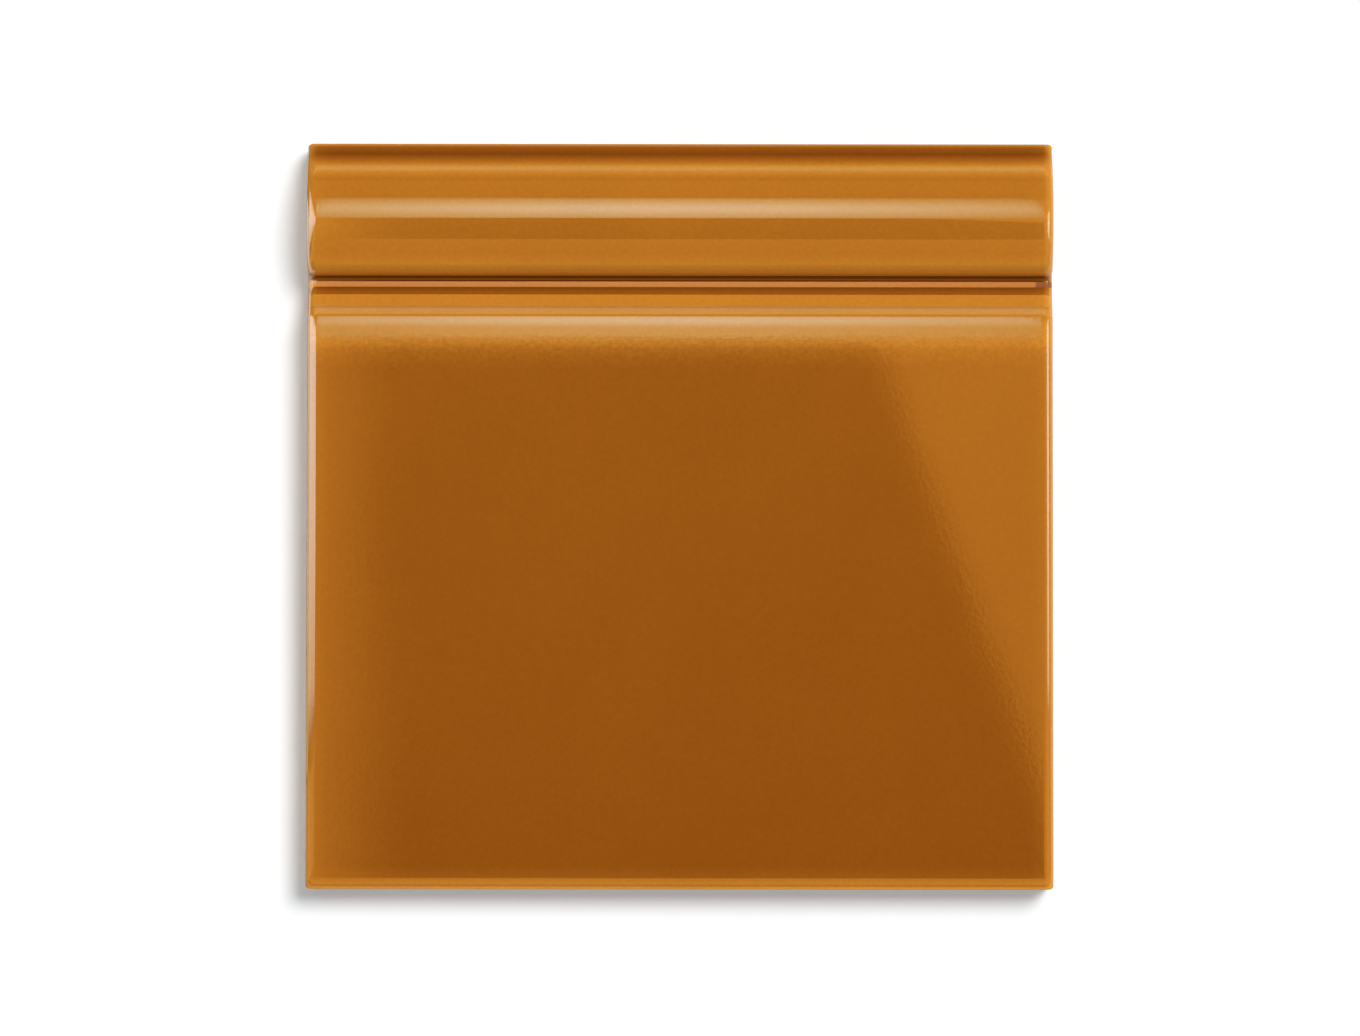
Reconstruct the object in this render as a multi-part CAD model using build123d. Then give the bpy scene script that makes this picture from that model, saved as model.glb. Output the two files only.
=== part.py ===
from build123d import *
import os
from math import asin, cos, degrees, radians, tan

# Pressed and fired skirting tile, lying on its back.
# X runs along the wall, +Y up the wall to the moulded top edge, +Z out of the glazed face.
# Millimetres; the origin is the middle of the bedding plane.

# Overall sizes
tile_length = 152.0
tile_height = 152.0
field_thickness = 9.5

# Roll along the top edge
crest_from_top = 15.2
roll_radius = 25.0
roll_slope = 21.5
flank_radius = 5.2
flank_slope = 66.0

# Quirk groove under the roll
quirk_radius = 1.1
floor_radius = 7.9

# Sloping listel and small step up to the field
listel_slope = 20.5
listel_run = 2.4
crease_radius = 0.6
riser_slope = 24.0
riser_run = 1.6
shoulder_radius = 2.0
crown_slope = 6.0
crown_radius = 22.0

# Fall of the field towards the floor edge
foot_run = 4.9
foot_radius = 20.0

# Rounding of the glazed edges, of the corners and of the bare back edge
edge_radius = 2.0
corner_radius = 2.1
back_arris = 0.5

# Keying channels pressed into the back
channel_width = 8.0
channel_pitch = 13.0
channel_depth = 0.8
channel_draft = 30.0
back_margin = 9.0


def rise(radius, slope_a, slope_b):
    """Height gained or lost by an arc between two slopes."""
    return radius * abs(cos(radians(slope_b)) - cos(radians(slope_a)))


# The crest stands above the field by what the roll falls less what the step climbs.
fall = rise(roll_radius, 0, roll_slope)
fall += rise(flank_radius, roll_slope, flank_slope)
fall += rise(quirk_radius, flank_slope, 0)
climb = rise(floor_radius, 0, listel_slope)
climb += listel_run * tan(radians(listel_slope))
climb += rise(crease_radius, listel_slope, riser_slope)
climb += riser_run * tan(radians(riser_slope))
climb += rise(shoulder_radius, riser_slope, crown_slope)
climb += rise(crown_radius, crown_slope, 0)
crest_height = field_thickness + fall - climb

top = tile_height / 2
crest = (top - crest_from_top, crest_height)
top_slope = degrees(asin(crest_from_top / roll_radius))
foot_slope = degrees(asin(foot_run / foot_radius))

# Section across the tile: Y and Z of the sketch plane are the local x and y.
with BuildPart() as tile:
    with BuildSketch(Plane.YZ) as section:
        with BuildLine() as outline:
            back_of_roll = JernArc(crest, (1, 0), roll_radius, -top_slope)
            roll = JernArc(crest, (-1, 0), roll_radius, roll_slope)
            flank = JernArc(roll @ 1, roll % 1, flank_radius, flank_slope - roll_slope)
            quirk = JernArc(flank @ 1, flank % 1, quirk_radius, -flank_slope)
            floor = JernArc(quirk @ 1, quirk % 1, floor_radius, -listel_slope)
            listel = PolarLine(floor @ 1, listel_run / cos(radians(listel_slope)), direction=floor % 1)
            crease = JernArc(listel @ 1, listel % 1, crease_radius, listel_slope - riser_slope)
            riser = PolarLine(crease @ 1, riser_run / cos(radians(riser_slope)), direction=crease % 1)
            shoulder = JernArc(riser @ 1, riser % 1, shoulder_radius, riser_slope - crown_slope)
            crown = JernArc(shoulder @ 1, shoulder % 1, crown_radius, crown_slope)
            field = Line(crown @ 1, (foot_run - top, field_thickness))
            foot = JernArc(field @ 1, field % 1, foot_radius, foot_slope)
            Polyline(foot @ 1, (-top, 0), (top, 0), back_of_roll @ 1)
        make_face()
    extrude(amount=tile_length / 2, both=True)

    # Upright corners first, then one soft round along every edge of the glazed face.
    fillet(tile.edges().filter_by(Axis.Z), corner_radius)
    walls = tile.faces().filter_by(lambda f: abs(f.normal_at().Z) < 0.001)
    rim = walls.edges().filter_by(Axis.Z, reverse=True).filter_by(lambda e: e.center().Z > edge_radius)
    fillet(rim, edge_radius)
    chamfer(tile.faces().sort_by(Axis.Z)[0].edges(), back_arris)

    # Channels run along the wall and stop short of the ends.
    reach = tile_height / 2 - back_margin - channel_width / 2
    rows = int(reach / channel_pitch)
    with BuildSketch(Plane.XY) as keying:
        with GridLocations(0, channel_pitch, 1, 2 * rows + 1):
            SlotOverall(tile_length - 2 * back_margin, channel_width)
    extrude(amount=channel_depth, taper=channel_draft, mode=Mode.SUBTRACT)

tile.part.label = "border_tile"
os.makedirs("parts", exist_ok=True)
export_step(tile.part, "parts/border_tile.step")

size = tile.part.bounding_box().size
print(f"border_tile {size.X:.2f} x {size.Y:.2f} x {size.Z:.2f} mm, crest at {crest_height:.2f} mm")
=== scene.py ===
# %% [markdown]
# A moulded skirting tile, pressed from pale clay and covered with a honey-brown glaze, lies on its
# back on a pale floor and is seen from straight above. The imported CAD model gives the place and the
# size of everything, so the script starts by loading it and noting its box.

import math

import bpy
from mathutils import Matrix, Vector


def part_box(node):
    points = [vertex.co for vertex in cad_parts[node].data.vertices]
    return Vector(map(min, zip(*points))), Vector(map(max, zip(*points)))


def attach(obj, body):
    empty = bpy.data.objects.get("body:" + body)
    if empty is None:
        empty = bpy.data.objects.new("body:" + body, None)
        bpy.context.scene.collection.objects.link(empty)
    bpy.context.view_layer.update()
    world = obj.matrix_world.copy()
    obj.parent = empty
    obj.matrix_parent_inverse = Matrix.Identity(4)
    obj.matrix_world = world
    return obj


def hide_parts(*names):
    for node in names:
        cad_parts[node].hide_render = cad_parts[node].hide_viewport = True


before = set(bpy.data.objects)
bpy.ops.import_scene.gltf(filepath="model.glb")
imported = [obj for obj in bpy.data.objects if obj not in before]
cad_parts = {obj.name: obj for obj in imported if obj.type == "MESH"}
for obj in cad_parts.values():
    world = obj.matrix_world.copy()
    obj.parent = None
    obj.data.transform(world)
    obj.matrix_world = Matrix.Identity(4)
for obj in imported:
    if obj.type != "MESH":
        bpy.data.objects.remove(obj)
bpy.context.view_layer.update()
MM = 0.001
node_low, node_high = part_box("border_tile")
TILE_LENGTH = (node_high.x - node_low.x) / MM
TILE_HEIGHT = (node_high.y - node_low.y) / MM
print(f"tile {TILE_LENGTH:.1f} x {TILE_HEIGHT:.1f} mm, {node_high.z / MM:.2f} mm high")

# %% [markdown]
# The tile has one section from end to end, so its outline is worked out once, as a walk over the
# face from the top edge down to the floor edge. A slope is counted in degrees, positive where the
# walk goes downhill. Convex stretches have a positive radius and hollow ones a negative radius.
# Each point also gets the depth of the glaze, in millimetres: thin where the melt ran off a crest or
# an arris, deep where it pooled in the groove. The depths also paint light and shade, because thin
# glaze is pale and deep glaze is dark: thin stripes paint highlights and deep glaze paints shade.

# %% A walk along the section
FINE_TURN = 2.0
FINE_STEP = 0.7
FLAT_STEP = 2.4
outline = []


def line_to(y, z, depth):
    y0, z0, d0 = outline[-1]
    steps = max(1, math.ceil(math.hypot(y - y0, z - z0) / FLAT_STEP))
    for i in range(1, steps + 1):
        t = i / steps
        outline.append((y0 + t * (y - y0), z0 + t * (z - z0), d0 + t * (depth - d0)))


def bend(radius, slope_from, slope_to, depth):
    y0, z0, d0 = outline[-1]
    a0, a1 = math.radians(slope_from), math.radians(slope_to)
    arc = abs(radius * (a1 - a0))
    turns = math.ceil(abs(slope_to - slope_from) / FINE_TURN)
    steps = max(2, turns, math.ceil(arc / FINE_STEP))
    for i in range(1, steps + 1):
        t = i / steps
        a = a0 + t * (a1 - a0)
        y = y0 - radius * (math.sin(a) - math.sin(a0))
        z = z0 + radius * (math.cos(a) - math.cos(a0))
        outline.append((y, z, d0 + t * (depth - d0)))


def bends(radius, slope_from, *stops):
    """Bends of one radius in a row; a stop is the slope it ends at and the glaze depth there."""
    for slope_to, depth in stops:
        bend(radius, slope_from, slope_to, depth)
        slope_from = slope_to


def climb(run, slope, depth):
    y0, z0, _ = outline[-1]
    line_to(y0 - run, z0 + run * math.tan(math.radians(slope)), depth)


print(f"the walk takes a point every {FINE_TURN} degrees of a bend")

# %% [markdown]
# The radii and slopes are the ones the solid was drawn with. The top edge and the floor edge end in
# a small round that touches the upright wall and the neighbouring arc, and the slope where they
# touch follows from the two radii. The heights count from the upper end of the top wall for now.

# %% The moulding
FIELD = 9.5
ROLL_RADIUS, CREST_FROM_TOP, ROLL_SLOPE = 25.0, 15.2, 21.5
FLANK_RADIUS, FLANK_SLOPE = 5.2, 66
QUIRK_RADIUS, FLOOR_RADIUS = 1.1, 7.9
LISTEL_SLOPE, LISTEL_RUN = 20.5, 2.4
CREASE_RADIUS, RISER_SLOPE, RISER_RUN = 0.6, 24.0, 1.6
SHOULDER_RADIUS, CROWN_RADIUS, CROWN_SLOPE = 2.0, 22.0, 6
FOOT_RADIUS, FOOT_RUN = 20.0, 4.9
EDGE_RADIUS, CORNER_RADIUS, BACK_ARRIS = 2.0, 0.9, 0.5
THIN, ROLL_DEPTH, CREST_DEPTH, SIDE_DEPTH = 0.13, 0.24, 0.19, 0.30
FIELD_DEPTH, FOOT_DEPTH = 0.38, 0.45
# The quirk's deep glaze paints the shade there, partly pooled glaze; the groove floor's thin glaze
# paints a glint as a pale line.
POOL_AND_SHADE, GLINT = 1.2, 0.25

top = TILE_HEIGHT / 2
top_touch = math.degrees(math.asin((CREST_FROM_TOP - EDGE_RADIUS) / (ROLL_RADIUS - EDGE_RADIUS)))
foot_touch = math.degrees(math.asin((FOOT_RUN - EDGE_RADIUS) / (FOOT_RADIUS - EDGE_RADIUS)))

outline.append((top, 0.0, SIDE_DEPTH))
bends(EDGE_RADIUS, -90, (-60, THIN), (-top_touch, 0.45))
# Deep glaze makes a dark band below the top edge, and a thin stripe beside it partly paints the soft
# pale band that the far strip lights.
bends(ROLL_RADIUS, -top_touch, (-31, 0.64), (-26.5, 0.26), (-24.5, 0.14), (-20.5, 0.14))
bends(ROLL_RADIUS, -20.5, (-17.5, ROLL_DEPTH), (-8.6, ROLL_DEPTH))
bends(ROLL_RADIUS, -8.6, (-7, CREST_DEPTH), (0.8, CREST_DEPTH), (1.8, ROLL_DEPTH))
bends(ROLL_RADIUS, 1.8, (ROLL_SLOPE - 4, ROLL_DEPTH), (ROLL_SLOPE, 0.18))
# Thin glaze on the flank paints light onto a slope that faces away from the key.
bends(FLANK_RADIUS, ROLL_SLOPE, (38, 0.08), (55, 0.11), (63, 0.18), (FLANK_SLOPE, 0.75))
# Deep glaze in the quirk: partly pooled glaze, partly painted shade.
bend(-QUIRK_RADIUS, FLANK_SLOPE, 0, POOL_AND_SHADE)
floor_from = outline[-1][0]
# Thin glaze on the groove's floor paints a glint as a pale line; the deeper glaze beside it paints
# shade.
bends(-FLOOR_RADIUS, 0, (-0.7, GLINT), (-8.0, GLINT), (-8.7, 0.74))
floor_to = outline[-1][0]
# Thin glaze on the listel, riser and shoulder paints their pale bands; the deeper glaze in the crease
# is partly gathered glaze, partly painted shade.
bends(-FLOOR_RADIUS, -8.7, (-LISTEL_SLOPE + 0.5, 0.42), (-LISTEL_SLOPE, THIN))
climb(LISTEL_RUN, LISTEL_SLOPE, THIN)
bend(-CREASE_RADIUS, -LISTEL_SLOPE, -RISER_SLOPE, 0.30)
for run, depth in ((0.3, 0.28), (0.3, 0.17), (RISER_RUN - 0.6, THIN)):
    climb(run, RISER_SLOPE, depth)
bend(SHOULDER_RADIUS, -RISER_SLOPE, -CROWN_SLOPE, 0.20)
bends(CROWN_RADIUS, -CROWN_SLOPE, (-2, 0.18), (0, 0.15))
print(f"the crest stands {max(z for _, z, _ in outline) - outline[-1][1]:.2f} mm above the field")

# %% [markdown]
# The field has a known thickness, so the whole walk is lifted until it ends at that height. Then it
# goes on over the field, where the glaze grows deeper below the step, round the floor edge and back
# along the underside, which has no glaze.

# %% Field, floor edge and back
lift_all = FIELD - outline[-1][1]
outline[:] = [(y, z + lift_all, depth) for y, z, depth in outline]
outline.insert(0, (top, BACK_ARRIS, SIDE_DEPTH))
for run, depth in ((2.2, 0.14), (1.1, 0.19), (1.0, 0.28), (1.4, 0.33), (2.4, FIELD_DEPTH)):
    line_to(outline[-1][0] - run, FIELD, depth)
line_to(FOOT_RUN - top, FIELD, FOOT_DEPTH)
bends(FOOT_RADIUS, 0, (foot_touch - 2.2, 0.37), (foot_touch - 1.4, 0.28), (foot_touch, 0.23))
# Very thin glaze on the floor edge paints light onto a round that faces away from the key.
bends(EDGE_RADIUS, foot_touch, (40, 0.07), (60, 0.02), (90, 0.20))
line_to(-top, BACK_ARRIS, SIDE_DEPTH)
line_to(BACK_ARRIS - top, 0.0, 0.0)
outline.append((top - BACK_ARRIS, 0.0, 0.0))
print(f"section of {len(outline)} points, {max(z for _, z, _ in outline):.2f} mm at the crest")

# %% [markdown]
# The outline becomes a closed loop of edges with the glaze depth stored on its points. It is only
# the raw material of the next step.

# %% The outline as a loop of edges
loop = bpy.data.meshes.new("tile_section")
count = len(outline)
loop.from_pydata(
    [(0.0, y * MM, z * MM) for y, z, _ in outline],
    [(i, (i + 1) % count) for i in range(count)],
    [],
)
depths = loop.attributes.new("glaze_depth", "FLOAT", "POINT")
depths.data.foreach_set("value", [d for _, _, d in outline])
tile = bpy.data.objects.new("glazed_tile", loop)
bpy.context.scene.collection.objects.link(tile)
print("loop with", len(loop.edges), "edges")

# %% [markdown]
# A few small helpers keep the node trees readable. One adds a node and fills or links its inputs;
# the others do the same for the nodes that are needed again and again: sums, changes of range,
# blends of two colours, and values stored on points.

# %% Helpers for node trees


def add(tree, kind, inputs=None, **settings):
    node = tree.nodes.new(kind)
    for name, value in settings.items():
        setattr(node, name, value)
    for key, value in (inputs or {}).items():
        socket = node.inputs[key]
        if isinstance(value, bpy.types.NodeSocket):
            tree.links.new(value, socket)
        else:
            socket.default_value = value
    return node


def sum_of(tree, operation, *values, clamp=False):
    inputs = dict(enumerate(values))
    return add(tree, "ShaderNodeMath", inputs, operation=operation, use_clamp=clamp).outputs[0]


def in_range(tree, value, low, high, to_low=0.0, to_high=1.0, **settings):
    inputs = {"Value": value, "From Min": low, "From Max": high}
    inputs.update({"To Min": to_low, "To Max": to_high})
    return add(tree, "ShaderNodeMapRange", inputs, **settings).outputs[0]


def blend(tree, share, first, second):
    inputs = {0: share, 6: first, 7: second}
    return add(tree, "ShaderNodeMix", inputs, data_type="RGBA").outputs[2]


def split(tree, vector):
    return add(tree, "ShaderNodeSeparateXYZ", {0: vector}).outputs


def named(tree, name, kind="FLOAT"):
    return add(tree, "GeometryNodeInputNamedAttribute", {"Name": name}, data_type=kind).outputs[0]


def store(tree, geometry, name, value, kind="FLOAT"):
    inputs = {"Geometry": geometry, "Name": name, "Value": value}
    node = add(tree, "GeometryNodeStoreNamedAttribute", inputs, data_type=kind, domain="POINT")
    return node.outputs[0]


def new_tree(name, sizes):
    tree = bpy.data.node_groups.new(name, "GeometryNodeTree")
    tree.interface.new_socket("Geometry", in_out="INPUT", socket_type="NodeSocketGeometry")
    for label, kind in sizes:
        tree.interface.new_socket(label, in_out="INPUT", socket_type="NodeSocket" + kind)
    tree.interface.new_socket("Geometry", in_out="OUTPUT", socket_type="NodeSocketGeometry")
    return tree, tree.nodes.new("NodeGroupInput").outputs


def use_tree(obj, tree, values):
    modifier = obj.modifiers.new(tree.name, "NODES")
    modifier.node_group = tree
    for item in tree.interface.items_tree:
        if item.in_out == "INPUT" and item.name in values:
            modifier[item.identifier] = values[item.name]


print("helpers ready for geometry, glaze and room")

# %% [markdown]
# The press leaves the tile with the same section all along, and the two ends rounded over as softly
# as the other edges. So a rail of stations runs along the wall: close together in the two end
# rounds, evenly spaced between them. At each station the section is drawn in by the amount that the
# round asks for, along its own outward direction, which is the loop's tangent turned a quarter.

# %% Tree for the swept body
sweep, given = new_tree(
    "swept_body",
    [
        ("Length", "Float"),
        ("Edge Radius", "Float"),
        ("Corner Radius", "Float"),
        ("Back Arris", "Float"),
        ("End Steps", "Int"),
        ("Run Steps", "Int"),
        ("Wave Height", "Float"),
        ("Wave Scale", "Float"),
        ("Wave Seed", "Float"),
        ("Material", "Material"),
    ],
)
section = add(sweep, "GeometryNodeMeshToCurve", {"Mesh": given["Geometry"]}).outputs[0]
place = add(sweep, "GeometryNodeInputPosition").outputs[0]
tangent = add(sweep, "GeometryNodeInputTangent").outputs[0]
turn = {0: tangent, 1: (1.0, 0.0, 0.0)}
outward = add(sweep, "ShaderNodeVectorMath", turn, operation="CROSS_PRODUCT").outputs[0]
section = store(sweep, section, "section_place", place, "FLOAT_VECTOR")
section = store(sweep, section, "outward", outward, "FLOAT_VECTOR")
print("section prepared in", len(sweep.nodes), "nodes")

# %% [markdown]
# Stations are counted from the nearer end. Within the end steps the count is an angle of the round,
# which gives both the distance from the end and how far the section draws in. One more station
# stands close beside each round and holds the smooth shading of the flat stretch flat.

# %% Stations along the rail
HOLD = 0.12 * MM
both_ends = sum_of(sweep, "MULTIPLY", given["End Steps"], 2.0)
last = sum_of(sweep, "ADD", given["Run Steps"], both_ends)
stations = {"Count": sum_of(sweep, "ADD", last, 1.0), "Offset": (MM, 0, 0)}
rail = add(sweep, "GeometryNodeMeshLine", stations).outputs[0]
rail = add(sweep, "GeometryNodeMeshToCurve", {"Mesh": rail}).outputs[0]
index = add(sweep, "GeometryNodeInputIndex").outputs[0]
from_far = sum_of(sweep, "SUBTRACT", last, index)
nearer = sum_of(sweep, "MINIMUM", index, from_far)
share = sum_of(sweep, "DIVIDE", nearer, given["End Steps"])
share = sum_of(sweep, "SUBTRACT", 1.0, share, clamp=True)
angle = sum_of(sweep, "MULTIPLY", share, math.pi / 2)
in_round = sum_of(sweep, "SUBTRACT", 1.0, sum_of(sweep, "SINE", angle))
in_round = sum_of(sweep, "MULTIPLY", in_round, given["Edge Radius"])
rounds = sum_of(sweep, "MULTIPLY", given["Edge Radius"], 2.0)
straight = sum_of(sweep, "SUBTRACT", given["Length"], rounds)
pitch = sum_of(sweep, "SUBTRACT", straight, 2 * HOLD)
pitch = sum_of(sweep, "DIVIDE", pitch, sum_of(sweep, "SUBTRACT", given["Run Steps"], 2.0))
past = sum_of(sweep, "MAXIMUM", sum_of(sweep, "SUBTRACT", nearer, given["End Steps"]), 0.0)
held = sum_of(sweep, "MULTIPLY", sum_of(sweep, "MINIMUM", past, 1.0), HOLD)
even = sum_of(sweep, "MAXIMUM", sum_of(sweep, "SUBTRACT", past, 1.0), 0.0)
even = sum_of(sweep, "MULTIPLY", even, pitch)
from_end = sum_of(sweep, "ADD", in_round, sum_of(sweep, "ADD", held, even))
print("stations counted in", len(sweep.nodes), "nodes")

# %% [markdown]
# Every station now notes what it asks of the section: where it stands, how far the round and the
# upright corner draw the section in, how much the small arris lifts the back, and how near the end
# it is, because the glaze thins a little over the last few millimetres.

# %% What each station asks for
END_REACH = 5.0 * MM
half = sum_of(sweep, "MULTIPLY", given["Length"], 0.5)
side = sum_of(sweep, "SIGN", sum_of(sweep, "SUBTRACT", index, from_far))
station = sum_of(sweep, "MULTIPLY", side, sum_of(sweep, "SUBTRACT", half, from_end))
draw_in = sum_of(sweep, "SUBTRACT", 1.0, sum_of(sweep, "COSINE", angle))
draw_in = sum_of(sweep, "MULTIPLY", draw_in, given["Edge Radius"])
lift = sum_of(sweep, "SUBTRACT", given["Back Arris"], from_end)
lift = sum_of(sweep, "MAXIMUM", lift, 0.0)
short = sum_of(sweep, "SUBTRACT", given["Corner Radius"], from_end)
short = sum_of(sweep, "MAXIMUM", short, 0.0)
square = sum_of(sweep, "MULTIPLY", given["Corner Radius"], given["Corner Radius"])
chord = sum_of(sweep, "SUBTRACT", square, sum_of(sweep, "MULTIPLY", short, short))
turn_in = sum_of(sweep, "SUBTRACT", given["Corner Radius"], sum_of(sweep, "SQRT", chord))
near_end = sum_of(sweep, "DIVIDE", from_end, END_REACH)
near_end = sum_of(sweep, "SUBTRACT", 1.0, near_end, clamp=True)
for name, value in (
    ("turn_in", turn_in),
    ("station", station),
    ("draw_in", draw_in),
    ("lift", lift),
    ("turned", share),
    ("near_end", near_end),
):
    rail = store(sweep, rail, name, value)
print("rail done after", len(sweep.nodes), "nodes")

# %% [markdown]
# The sweep itself only makes the net of faces; every point is then put where its station and its
# place in the section say. The back and its small arris move straight in and keep their height. No
# melt sets perfectly flat, so a very shallow noise lets the glazed face sink by up to five
# thousandths of a millimetre.

# %% The net and its points
path = {"Curve": rail, "Profile Curve": section, "Fill Caps": True}
net = add(sweep, "GeometryNodeCurveToMesh", path).outputs[0]
spot = split(sweep, named(sweep, "section_place", "FLOAT_VECTOR"))
facing = split(sweep, named(sweep, "outward", "FLOAT_VECTOR"))
just_over = sum_of(sweep, "MULTIPLY", given["Back Arris"], 1.2)
on_back = sum_of(sweep, "LESS_THAN", spot[2], just_over)
on_face = sum_of(sweep, "SUBTRACT", 1.0, on_back)
across = sum_of(sweep, "MULTIPLY", sum_of(sweep, "SIGN", spot[1]), on_back)
across = sum_of(sweep, "ADD", across, sum_of(sweep, "MULTIPLY", facing[1], on_face))
upward = sum_of(sweep, "MULTIPLY", facing[2], on_face)
drawn = named(sweep, "draw_in")
steep = sum_of(sweep, "SUBTRACT", 1.0, upward, clamp=True)
turned_in = sum_of(sweep, "MULTIPLY", named(sweep, "turn_in"), steep)
gentle = sum_of(sweep, "SUBTRACT", 1.0, steep)
sideways = sum_of(sweep, "ADD", turned_in, sum_of(sweep, "MULTIPLY", drawn, gentle))
new_y = sum_of(sweep, "SUBTRACT", spot[1], sum_of(sweep, "MULTIPLY", across, sideways))
new_z = sum_of(sweep, "SUBTRACT", spot[2], sum_of(sweep, "MULTIPLY", upward, drawn))
new_z = sum_of(sweep, "MAXIMUM", new_z, named(sweep, "lift"))
new_place = {0: named(sweep, "station"), 1: new_y, 2: new_z}
flat_place = add(sweep, "ShaderNodeCombineXYZ", new_place).outputs[0]
waves = add(
    sweep,
    "ShaderNodeTexNoise",
    {"Vector": flat_place, "W": given["Wave Seed"], "Scale": given["Wave Scale"], "Detail": 1.0},
    noise_dimensions="4D",
).outputs[0]
swell = sum_of(sweep, "SUBTRACT", waves, 1.0)
swell = sum_of(sweep, "MULTIPLY", swell, given["Wave Height"])
swell = sum_of(sweep, "MULTIPLY", swell, sum_of(sweep, "MAXIMUM", upward, 0.0))
new_place[2] = sum_of(sweep, "ADD", new_z, swell)
wavy_place = add(sweep, "ShaderNodeCombineXYZ", new_place).outputs[0]
net = add(sweep, "GeometryNodeSetPosition", {"Geometry": net, "Position": wavy_place}).outputs[0]
print("net placed after", len(sweep.nodes), "nodes")

# %% [markdown]
# The glaze runs off an arris, so the depth that came with the section shrinks where the end turns
# over, and a little already on the way there. With that the body is complete and gets its material.

# %% Glaze on the ends
ARRIS_LOSS, ARRIS_ONSET, END_LOSS = 0.88, 1.6, 0.25
arris = sum_of(sweep, "MULTIPLY", named(sweep, "turned"), ARRIS_ONSET, clamp=True)
thinned = sum_of(sweep, "SUBTRACT", 1.0, sum_of(sweep, "MULTIPLY", arris, ARRIS_LOSS))
drained = sum_of(sweep, "MULTIPLY", named(sweep, "near_end"), END_LOSS)
drained = sum_of(sweep, "SUBTRACT", 1.0, drained)
kept = sum_of(sweep, "MULTIPLY", thinned, drained)
depth = sum_of(sweep, "MULTIPLY", named(sweep, "glaze_depth"), kept)
net = store(sweep, net, "glaze_depth", depth)
net = add(sweep, "GeometryNodeRealizeInstances", {"Geometry": net}).outputs[0]
coat = {"Geometry": net, "Material": given["Material"]}
net = add(sweep, "GeometryNodeSetMaterial", coat).outputs[0]
add(sweep, "NodeGroupOutput", {"Geometry": net})
print("swept_body has", len(sweep.nodes), "nodes")

# %% [markdown]
# The back of a wall tile is pressed with shallow channels that the adhesive keys into. Each could
# be modelled in place, but they are one slot repeated at an even pitch, so a single slot with round
# ends is made in nodes: an outline with filleted corners, filled and raised from just below the
# back, and closed underneath.

# %% Tree for the keyed back
keyed, given = new_tree(
    "keyed_back",
    [
        ("Channels", "Int"),
        ("Pitch", "Float"),
        ("Channel Length", "Float"),
        ("Channel Width", "Float"),
        ("Channel Depth", "Float"),
        ("Side Lean", "Float"),
        ("Material", "Material"),
    ],
)
BELOW_BACK = 0.3 * MM
ALMOST_ROUND = 0.999
WELD = 1e-6
half_width = sum_of(keyed, "MULTIPLY", given["Channel Width"], 0.5)
slot = add(
    keyed,
    "GeometryNodeCurvePrimitiveQuadrilateral",
    {"Width": given["Channel Length"], "Height": given["Channel Width"]},
).outputs[0]
corner = sum_of(keyed, "MULTIPLY", half_width, ALMOST_ROUND)
ends = {"Curve": slot, "Count": 8, "Radius": corner}
slot = add(keyed, "GeometryNodeFilletCurve", ends, mode="POLY").outputs[0]
slot = add(keyed, "GeometryNodeFillCurve", {"Curve": slot}, mode="NGONS").outputs[0]
down = {"Geometry": slot, "Offset": (0.0, 0.0, -BELOW_BACK)}
slot = add(keyed, "GeometryNodeSetPosition", down).outputs[0]
reach = sum_of(keyed, "ADD", given["Channel Depth"], BELOW_BACK)
sides = add(
    keyed,
    "GeometryNodeExtrudeMesh",
    {"Mesh": slot, "Offset": (0.0, 0.0, 1.0), "Offset Scale": reach, "Individual": False},
).outputs[0]
foot = add(keyed, "GeometryNodeFlipFaces", {"Mesh": slot}).outputs[0]
both = add(keyed, "GeometryNodeJoinGeometry")
keyed.links.new(foot, both.inputs[0])
keyed.links.new(sides, both.inputs[0])
welded = {"Geometry": both.outputs[0], "Distance": WELD}
slot = add(keyed, "GeometryNodeMergeByDistance", welded).outputs[0]
print("slot made in", len(keyed.nodes), "nodes")

# %% [markdown]
# A pressed slot narrows towards its bottom, or it would not leave the die. So every point moves
# towards the slot's spine by an amount that grows with its height.

# %% Lean of the slot's sides
here = split(keyed, add(keyed, "GeometryNodeInputPosition").outputs[0])
half_length = sum_of(keyed, "MULTIPLY", given["Channel Length"], 0.5)
spine_end = sum_of(keyed, "SUBTRACT", half_length, half_width)
spine_x = sum_of(keyed, "MINIMUM", sum_of(keyed, "ABSOLUTE", here[0]), spine_end)
spine_x = sum_of(keyed, "MULTIPLY", spine_x, sum_of(keyed, "SIGN", here[0]))
lean = sum_of(keyed, "MULTIPLY", here[2], sum_of(keyed, "TANGENT", given["Side Lean"]))
shrink = sum_of(keyed, "SUBTRACT", 1.0, sum_of(keyed, "DIVIDE", lean, half_width))
from_spine = sum_of(keyed, "SUBTRACT", here[0], spine_x)
lean_x = sum_of(keyed, "ADD", spine_x, sum_of(keyed, "MULTIPLY", from_spine, shrink))
lean_y = sum_of(keyed, "MULTIPLY", here[1], shrink)
leaned = add(keyed, "ShaderNodeCombineXYZ", {0: lean_x, 1: lean_y, 2: here[2]}).outputs[0]
slot = add(keyed, "GeometryNodeSetPosition", {"Geometry": slot, "Position": leaned}).outputs[0]
print("keyed_back so far has", len(keyed.nodes), "nodes")

# %% [markdown]
# The slots are set out along a line of points and cut from the body in one boolean. Soft shading
# suits the glazed rounds, while the edges of the channels and the back arris stay crisp, so edges
# that turn by more than a set angle are marked sharp.

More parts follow.
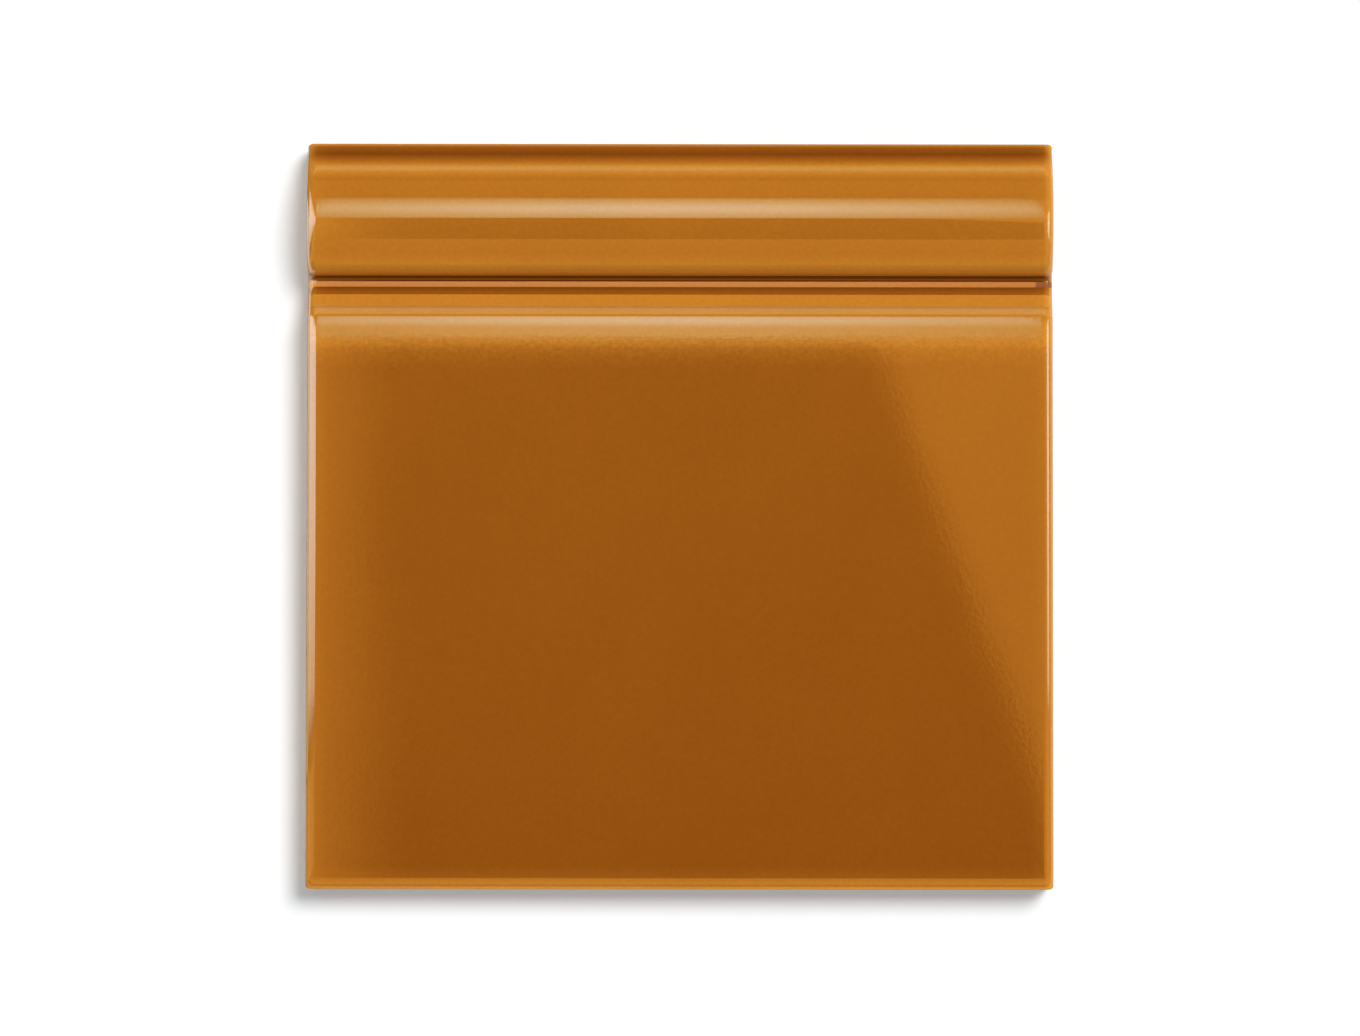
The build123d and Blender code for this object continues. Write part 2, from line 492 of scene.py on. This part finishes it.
# %% Row of slots and the cut
CRISP_FROM = math.radians(24)
gaps = sum_of(keyed, "SUBTRACT", given["Channels"], 1.0)
first = sum_of(keyed, "MULTIPLY", sum_of(keyed, "MULTIPLY", gaps, given["Pitch"]), -0.5)
row = add(
    keyed,
    "GeometryNodeMeshLine",
    {
        "Count": given["Channels"],
        "Start Location": add(keyed, "ShaderNodeCombineXYZ", {1: first}).outputs[0],
        "Offset": add(keyed, "ShaderNodeCombineXYZ", {1: given["Pitch"]}).outputs[0],
    },
).outputs[0]
slots = add(keyed, "GeometryNodeInstanceOnPoints", {"Points": row, "Instance": slot}).outputs[0]
slots = add(keyed, "GeometryNodeRealizeInstances", {"Geometry": slots}).outputs[0]
cut = add(
    keyed,
    "GeometryNodeMeshBoolean",
    {"Mesh 1": given["Geometry"], "Mesh 2": slots},
    operation="DIFFERENCE",
    solver="EXACT",
).outputs[0]
soft = {"Geometry": cut, "Shade Smooth": True}
cut = add(keyed, "GeometryNodeSetShadeSmooth", soft, domain="FACE").outputs[0]
bent = add(keyed, "GeometryNodeInputMeshEdgeAngle").outputs[0]
sharp = sum_of(keyed, "GREATER_THAN", bent, CRISP_FROM)
crisp = {"Geometry": cut, "Selection": sharp, "Shade Smooth": False}
cut = add(keyed, "GeometryNodeSetShadeSmooth", crisp, domain="EDGE").outputs[0]
cut = add(keyed, "GeometryNodeRealizeInstances", {"Geometry": cut}).outputs[0]
coat = {"Geometry": cut, "Material": given["Material"]}
cut = add(keyed, "GeometryNodeSetMaterial", coat).outputs[0]
add(keyed, "NodeGroupOutput", {"Geometry": cut})
print("keyed_back has", len(keyed.nodes), "nodes")

# %% [markdown]
# The glaze is a layer of coloured glass over pale clay. It could be painted as a set of browns, but
# the real colour comes from depth alone: light loses more of its blue and green than of its red for
# every tenth of a millimetre it crosses. So one amber colour is dimmed by a power of the depth that
# the section carries, and thin arrises, the field and the dark groove all follow from that rule. As
# the depths also paint light and shade, the same rule gives the painted highlights of the thin
# stripes and the painted shade of the deep quirk. Two noises shift the depth first: a soft cloud, as
# brushed or poured glaze has, and fine pebbles, which show most in a band below the step, where they
# paint the grain of the wavering reflection there.

# %% Depth of the glaze
CLOUD_SCALE, CLOUD_SHIFT = 45.0, 0.05
PEEL_SCALE = 1300.0
FEW_PEBBLES, MANY_PEBBLES = 0.08, 0.19
finish = bpy.data.materials.new("honey_glaze")
finish.use_nodes = True
glaze = finish.node_tree
shader = glaze.nodes["Principled BSDF"]
where = add(glaze, "ShaderNodeTexCoord").outputs["Object"]
place = split(glaze, where)


def noise(scale, detail):
    inputs = {"Vector": where, "Scale": scale, "Detail": detail}
    return add(glaze, "ShaderNodeTexNoise", inputs).outputs[0]


depth = add(glaze, "ShaderNodeAttribute", attribute_name="glaze_depth").outputs["Fac"]
cloud = noise(CLOUD_SCALE, 4.0)
peel = noise(PEEL_SCALE, 1.0)
shift = sum_of(glaze, "MULTIPLY", sum_of(glaze, "SUBTRACT", cloud, 0.5), CLOUD_SHIFT)
# The pebbles are strongest in a band just below the step, where they paint the grain of the wavering
# reflection.
pebbled = [
    in_range(glaze, place[1], calm * MM, full * MM, FEW_PEBBLES, MANY_PEBBLES)
    for calm, full in ((29.0, 33.5), (37.2, 35.6))
]
pebbles = sum_of(glaze, "SUBTRACT", peel, 0.5)
pebbles = sum_of(glaze, "MULTIPLY", pebbles, sum_of(glaze, "MINIMUM", *pebbled))
shift = sum_of(glaze, "ADD", shift, pebbles)
print("depth and its noises take", len(glaze.nodes), "nodes")

# %% [markdown]
# On the floor of the groove a thin, even line of glaze paints the glint of a softbox as a pale line.
# Near one end that painted glint stops and the glaze is made deep, which paints that end dark. The
# floor is found by its distance across the tile, which needs no extra mesh, and the mask is used
# again for the gloss.

# %% Painted glint and shade in the groove, and the glaze colour
AMBER = (0.74, 0.305, 0.036)
KEPT_PER_MM = (0.131, 0.0538, 0.0157)
FLOOR_RIM = 0.08 * MM
# Where the painted glint on the groove's floor stops and the end is painted dark.
END_SHADE_FROM, END_SHADE_TO, END_SHADE_DEPTH = 72.3 * MM, 72.9 * MM, 0.45
LEAST_DEPTH = 0.02
half_floor = 0.5 * (floor_from - floor_to) * MM
from_middle = sum_of(glaze, "SUBTRACT", place[1], 0.5 * (floor_from + floor_to) * MM)
from_middle = sum_of(glaze, "ABSOLUTE", from_middle)
on_floor = in_range(glaze, from_middle, half_floor, half_floor - FLOOR_RIM)
# Painted shade: the groove's floor is made deep, and dark, at one end where the painted glint stops.
painted_end_shade = in_range(glaze, place[0], END_SHADE_FROM, END_SHADE_TO, to_high=END_SHADE_DEPTH)
shift = sum_of(glaze, "ADD", shift, sum_of(glaze, "MULTIPLY", on_floor, painted_end_shade))
depth = sum_of(glaze, "MAXIMUM", sum_of(glaze, "ADD", depth, shift), LEAST_DEPTH)
channels = {}
for i, (amber, kept) in enumerate(zip(AMBER, KEPT_PER_MM)):
    channels[i] = sum_of(glaze, "MULTIPLY", sum_of(glaze, "POWER", kept, depth), amber)
glass_colour = add(glaze, "ShaderNodeCombineXYZ", channels).outputs[0]
print("glaze colour from", len(glaze.nodes), "nodes")

# %% [markdown]
# The back stays bare so that the tile does not stick to the kiln shelf, and the glaze stops in an
# uneven line low on the sides. Two materials would need the mesh to be cut along that line, so one
# material holds both, split by height above the back with a little noise. The bare clay is pale,
# dull and finely speckled.

# %% Bare clay below the glaze line
GLAZE_LINE, LINE_BLUR, LINE_WANDER = 1.7 * MM, 0.08 * MM, 1.2 * MM
RAGGED_SCALE, GRAIN_SCALE = 160.0, 900.0
CLAY_SPECK = (0.30, (0.46, 0.33, 0.22, 1.0))
CLAY_BODY = (0.52, (0.68, 0.57, 0.44, 1.0))
ragged = noise(RAGGED_SCALE, 3.0)
ragged = sum_of(glaze, "MULTIPLY", sum_of(glaze, "SUBTRACT", ragged, 0.5), LINE_WANDER)
level = sum_of(glaze, "ADD", place[2], ragged)
glazed = in_range(glaze, level, GLAZE_LINE - LINE_BLUR, GLAZE_LINE + LINE_BLUR)
grain = noise(GRAIN_SCALE, 5.0)
clay = add(glaze, "ShaderNodeValToRGB", {"Fac": grain})
for element, (position, shade) in zip(clay.color_ramp.elements, (CLAY_SPECK, CLAY_BODY)):
    element.position = position
    element.color = shade
colour = blend(glaze, glazed, clay.outputs[0], glass_colour)
glaze.links.new(colour, shader.inputs["Base Color"])
print("clay and glaze share", len(glaze.nodes), "nodes")

# %% [markdown]
# Fired glaze is glossy but not a mirror: it has a fine orange peel, so a reflected edge wavers a
# little. That ripple is far too small to model, so it goes into the bump, together with the grain
# of the clay and the small step where the glaze ends. On the groove's floor the glaze is full of
# fine bubbles and therefore duller.

# %% Gloss and relief
GLOSSY, BUBBLED, UNGLAZED = 0.03, 0.36, 0.85
PEEL_HEIGHT, GRAIN_HEIGHT, GLAZE_STEP = 0.0014, 0.10, 0.12
gloss = in_range(glaze, on_floor, 0.0, 1.0, GLOSSY, BUBBLED)
rough = in_range(glaze, glazed, 0.0, 1.0, UNGLAZED, gloss)
glaze.links.new(rough, shader.inputs["Roughness"])
shader.inputs["IOR"].default_value = 1.5
bare = sum_of(glaze, "SUBTRACT", 1.0, glazed)
relief = sum_of(glaze, "MULTIPLY", sum_of(glaze, "MULTIPLY", peel, glazed), PEEL_HEIGHT)
speckled = sum_of(glaze, "MULTIPLY", sum_of(glaze, "MULTIPLY", grain, bare), GRAIN_HEIGHT)
relief = sum_of(glaze, "ADD", relief, speckled)
relief = sum_of(glaze, "ADD", relief, sum_of(glaze, "MULTIPLY", glazed, GLAZE_STEP))
bump = add(glaze, "ShaderNodeBump", {"Height": relief, "Distance": MM, "Strength": 1.0})
glaze.links.new(bump.outputs[0], shader.inputs["Normal"])
print("glaze material has", len(glaze.nodes), "nodes")

# %% [markdown]
# Both trees are put on the loop of edges, their sizes are set, and the result is turned into one
# plain mesh, because that is what rides on the frame and can be exported.

# %% The tile as a plain mesh
CHANNEL_WIDTH, CHANNEL_PITCH, BACK_MARGIN = 8.0, 13.0, 9.0
rows_each_way = int((TILE_HEIGHT / 2 - BACK_MARGIN - CHANNEL_WIDTH / 2) / CHANNEL_PITCH)
use_tree(
    tile,
    sweep,
    {
        "Length": TILE_LENGTH * MM,
        "Edge Radius": EDGE_RADIUS * MM,
        "Corner Radius": CORNER_RADIUS * MM,
        "Back Arris": BACK_ARRIS * MM,
        "End Steps": 12,
        "Run Steps": 60,
        "Wave Height": 0.005 * MM,
        "Wave Scale": 60.0,
        "Wave Seed": 7.0,
        "Material": finish,
    },
)
use_tree(
    tile,
    keyed,
    {
        "Channels": 2 * rows_each_way + 1,
        "Pitch": CHANNEL_PITCH * MM,
        "Channel Length": (TILE_LENGTH - 2 * BACK_MARGIN) * MM,
        "Channel Width": CHANNEL_WIDTH * MM,
        "Channel Depth": 0.8 * MM,
        "Side Lean": math.radians(30),
        "Material": finish,
    },
)
evaluated = tile.evaluated_get(bpy.context.evaluated_depsgraph_get())
made = bpy.data.meshes.new_from_object(evaluated)
tile.modifiers.clear()
tile.data = made
made.name = "glazed_tile"
print(len(made.vertices), "points,", len(made.polygons), "faces,", made.materials[0].name)

# %% [markdown]
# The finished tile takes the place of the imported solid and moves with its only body.

# %% Ride on the frame
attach(tile, "root")
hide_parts("border_tile")
print("tile rides root")

# %% [markdown]
# The floor is a plain pale sheet. A floor bright enough to be pure white by light alone would need
# lamps that bleach the tile, so its material adds a little glow for rays from the camera, and the
# shadow of the tile still shows on it. The glow is slightly cool, because the tile throws some of
# its honey colour into the shadow.

# %% Pale floor
FLOOR_GLOW = (0.145, 0.178, 0.190, 1.0)
FLOOR_PAINT = (0.84, 0.84, 0.84, 1.0)
FLOOR_HALF, FLOOR_DROP = 3, 0.05 * MM
floor_mesh = bpy.data.meshes.new("floor")
turns = ((-1, -1), (1, -1), (1, 1), (-1, 1))
floor_corners = [(x * FLOOR_HALF, y * FLOOR_HALF, 0) for x, y in turns]
floor_mesh.from_pydata(floor_corners, [], [(0, 1, 2, 3)])
floor = bpy.data.objects.new("floor", floor_mesh)
floor.location.z = -FLOOR_DROP
bpy.context.scene.collection.objects.link(floor)
pale = bpy.data.materials.new("pale_floor")
pale.use_nodes = True
sheet = pale.node_tree
sheet.nodes.remove(sheet.nodes["Principled BSDF"])
matt = add(sheet, "ShaderNodeBsdfDiffuse", {"Color": FLOOR_PAINT}).outputs[0]
seen = add(sheet, "ShaderNodeLightPath").outputs["Is Camera Ray"]
glow = add(sheet, "ShaderNodeEmission", {"Color": FLOOR_GLOW, "Strength": seen}).outputs[0]
both = add(sheet, "ShaderNodeAddShader", {0: matt, 1: glow}).outputs[0]
sheet.links.new(both, sheet.nodes["Material Output"].inputs["Surface"])
floor_mesh.materials.append(pale)
print("floor laid")

# %% [markdown]
# Most of what one sees on a glossy tile is the room. Softboxes are therefore set as cards that only
# the reflections see, while one wide soft key and the even light of the room light the colours. A
# card is brightest in its middle, as a softbox is in front of its lamp, and its dimmer rim is a
# little warmer.

# %% How a card is made
RIM_BLUE = 0.5
SOFTBOX = (0.80, 1.0, 0.78)


def card(name, corner, along, up, brightness, hot, spread, soft, tint=SOFTBOX):
    """A bright sheet from a corner and two sides; hot, spread and soft are shares of those."""
    corner, along, up = Vector(corner), Vector(along), Vector(up)
    mesh = bpy.data.meshes.new(name)
    corners = [corner, corner + along, corner + along + up, corner + up]
    mesh.from_pydata(corners, [], [(0, 1, 2, 3)])
    grid = mesh.uv_layers.new(name="sheet")
    for loop_index, uv in enumerate(((0, 0), (1, 0), (1, 1), (0, 1))):
        grid.data[loop_index].uv = uv
    obj = bpy.data.objects.new(name, mesh)
    bpy.context.scene.collection.objects.link(obj)
    light = bpy.data.materials.new(name)
    light.use_nodes = True
    tree = light.node_tree
    tree.nodes.remove(tree.nodes["Principled BSDF"])
    at = split(tree, add(tree, "ShaderNodeTexCoord").outputs["UV"])
    parts = []
    shine = brightness
    for axis in (0, 1):
        away = sum_of(tree, "SUBTRACT", at[axis], hot[axis])
        away = sum_of(tree, "DIVIDE", away, spread[axis])
        parts.append(sum_of(tree, "MULTIPLY", away, away))
        inside = sum_of(tree, "MINIMUM", at[axis], sum_of(tree, "SUBTRACT", 1.0, at[axis]))
        shine = sum_of(tree, "MULTIPLY", sum_of(tree, "DIVIDE", inside, soft, clamp=True), shine)
    fade = sum_of(tree, "MULTIPLY", sum_of(tree, "ADD", *parts), -0.5)
    fade = sum_of(tree, "EXPONENT", fade)
    shine = sum_of(tree, "MULTIPLY", fade, shine)
    rim = (tint[0], tint[1], RIM_BLUE * tint[2], 1.0)
    colour = blend(tree, fade, rim, (*tint, 1.0))
    lit = add(tree, "ShaderNodeEmission", {"Color": colour, "Strength": shine}).outputs[0]
    tree.links.new(lit, tree.nodes["Material Output"].inputs["Surface"])
    mesh.materials.append(light)
    for way in ("camera", "diffuse", "transmission", "volume_scatter", "shadow"):
        setattr(obj, "visible_" + way, False)


print("a card's usual tint is", SOFTBOX)

# %% [markdown]
# Four softboxes make the highlights: one overhead for the bands on the roll and under the step, one
# at each side for the pale lines along the ends, and a far strip for the band below the top edge.

# %% Softboxes
PALE = (0.98, 1.0, 0.95)
card(
    "softbox_over_top", (-0.168, 0.120, 1.2), (0.3325, 0, 0), (0, 0.438, 0), brightness=6.6,
    hot=(0.475, 0.44), spread=(0.505, 0.317), soft=0.012,
)
card(
    "softbox_left", (-0.556, -0.055, -0.37), (0, 0.30, 0), (0, 0, 3.2), brightness=8.8,
    hot=(0.517, 0.38), spread=(0.432, 1.3), soft=0.065, tint=PALE,
)
card(
    "softbox_right", (0.50, -0.045, 0.17), (0, 0.195, 0), (0, 0, 0.33), brightness=9.0,
    hot=(0.49, 0.5), spread=(0.45, 0.6), soft=0.06, tint=(0.86, 1.0, 0.86),
)
card(
    "far_strip", (-0.9, 1.0, 0.5), (1.8, 0, 0), (0, 0, 0.65), brightness=2.0,
    hot=(0.5, 0.37), spread=(0.8, 0.085), soft=0.02, tint=(0.6, 1.0, 0.55),
)
print("four softboxes hung")

# %% [markdown]
# The outer half of a rounded edge mirrors what lies beside the tile. Boards on the floor, pale at
# the left and warm elsewhere, and a warm card at the left keep those edges the colour they have in
# the photograph.

# %% Boards beside the tile
WARM = (1.0, 0.5, 0.12)
BOARD_HEIGHT = 0.6 * MM
card(
    "warm_left", (-0.40, -0.16, -0.25), (0, 0.105, 0), (0, 0, 2.17), brightness=4.2,
    hot=(0.5, 0.4), spread=(1.0, 1.3), soft=0.05, tint=(1.0, 0.5, 0.1),
)
card(
    "board_left", (-0.40, -0.055, BOARD_HEIGHT), (0, 0.123, 0), (0.318, 0, 0), brightness=3.6,
    hot=(1.10, 1.0), spread=(0.91, 2.0), soft=0.02, tint=PALE,
)
card(
    "board_corner", (-0.40, 0.068, BOARD_HEIGHT), (0, 0.15, 0), (0.318, 0, 0), brightness=1.0,
    hot=(0.5, 1.0), spread=(1.0, 2.0), soft=0.02, tint=WARM,
)
card(
    "board_front", (-0.30, -0.40, BOARD_HEIGHT), (0.60, 0, 0), (0, 0.322, 0), brightness=3.2,
    hot=(0.5, 1.0), spread=(1.0, 2.0), soft=0.02, tint=(1.0, 0.42, 0.08),
)
card(
    "board_back", (-0.30, 0.0775, BOARD_HEIGHT), (0.60, 0, 0), (0, 0.322, 0), brightness=0.8,
    hot=(0.5, 0.0), spread=(1.0, 2.0), soft=0.01, tint=WARM,
)
print("boards laid")

# %% [markdown]
# The room itself is the world. Rays from the camera see plain white, rays that only carry diffuse
# light see an even grey, and reflections see a warm ceiling with a dark opening overhead, where the
# camera looks through. The opening is described on a flat ceiling one metre up, so a direction is
# first divided by its own height. One of its sides is slanted and draws the slanted edge on the
# field.

# %% World
OPENING_LEFT, OPENING_SLANT = (-0.078, -0.055), (0.0655, 0.0590)
OPENING_FRONT, OPENING_BACK = (-0.310, -0.297), (0.085, 0.066)
SLANT = (0.935, 0.354)
FRONT_CEILING, CEILING = (2.4, 1.0, 0.13, 1.0), (3.2, 1.35, 0.17, 1.0)
BACK_CEILING, DARK = (0.9, 0.40, 0.06, 1.0), (0.0, 0.0, 0.0, 1.0)
LOW_WALLS, EVEN_GREY = (0.17, 0.12, 0.045, 1.0), (0.31, 0.31, 0.31, 1.0)
WHITE = (1.0, 1.0, 1.0, 1.0)
world = bpy.data.worlds.new("studio")
bpy.context.scene.world = world
world.use_nodes = True
room = world.node_tree
ray = split(room, add(room, "ShaderNodeTexCoord").outputs["Generated"])
raised = sum_of(room, "MAXIMUM", ray[2], 0.02)
u = sum_of(room, "DIVIDE", ray[0], raised)
v = sum_of(room, "DIVIDE", ray[1], raised)


def ramp(value, low, high):
    return in_range(room, value, low, high, interpolation_type="SMOOTHSTEP")


slanted = sum_of(room, "MULTIPLY", u, SLANT[0])
slanted = sum_of(room, "ADD", slanted, sum_of(room, "MULTIPLY", v, SLANT[1]))
opening = sum_of(room, "MULTIPLY", ramp(u, *OPENING_LEFT), ramp(slanted, *OPENING_SLANT))
opening = sum_of(room, "MULTIPLY", opening, ramp(v, *OPENING_FRONT))
opening = sum_of(room, "MULTIPLY", opening, ramp(v, *OPENING_BACK))
nearby = blend(room, ramp(v, -0.28, -0.10), FRONT_CEILING, CEILING)
tone = blend(room, ramp(v, 0.08, 0.30), nearby, BACK_CEILING)
ceiling = blend(room, opening, tone, DARK)
around = blend(room, ramp(ray[2], 0.40, 0.65), LOW_WALLS, ceiling)
rays = add(room, "ShaderNodeLightPath").outputs
reflected = blend(room, rays["Is Glossy Ray"], EVEN_GREY, around)
plain = blend(room, rays["Is Camera Ray"], reflected, WHITE)
room.links.new(plain, room.nodes["Background"].inputs["Color"])
print("world has", len(room.nodes), "nodes")

# %% [markdown]
# The key is wide and high, from beyond the upper right corner, so the shadow falls softly to the
# lower left. A sun lamp keeps the floor evenly lit out to its edge.

# %% Key light
KEY_WAY = Vector((-0.46, -0.46, -1.0))
key = bpy.data.objects.new("key", bpy.data.lights.new("key", "SUN"))
key.data.energy = 2.66
key.data.angle = math.radians(26)
key.rotation_euler = KEY_WAY.to_track_quat("-Z", "Y").to_euler()
key.visible_glossy = False
bpy.context.scene.collection.objects.link(key)
print("key points along", [round(a, 3) for a in key.rotation_euler])

# %% [markdown]
# The camera hangs a metre above the face, tipped by two degrees so that the floor edge is a little
# nearer, with a lens that frames the tile as in the photograph. Its small shifts and its small turn
# are the ones the photograph has.

# %% Camera
CAMERA_ABOVE, TIP, TURN = 1.0, math.radians(2.0), math.radians(0.067)
ASIDE, BELOW_MIDDLE = 0.08 * MM, 0.6 * MM
eye = bpy.data.objects.new("camera", bpy.data.cameras.new("camera"))
eye.data.lens = 130.26
eye.data.sensor_width = 36.0
eye.location = (
    ASIDE,
    -BELOW_MIDDLE - CAMERA_ABOVE * math.sin(TIP),
    FIELD * MM + CAMERA_ABOVE * math.cos(TIP),
)
eye.rotation_euler = (TIP, 0.0, TURN)
bpy.context.scene.collection.objects.link(eye)
bpy.context.scene.camera = eye
bpy.context.scene.view_settings.view_transform = "Standard"
print("camera at", [round(c, 4) for c in eye.location])
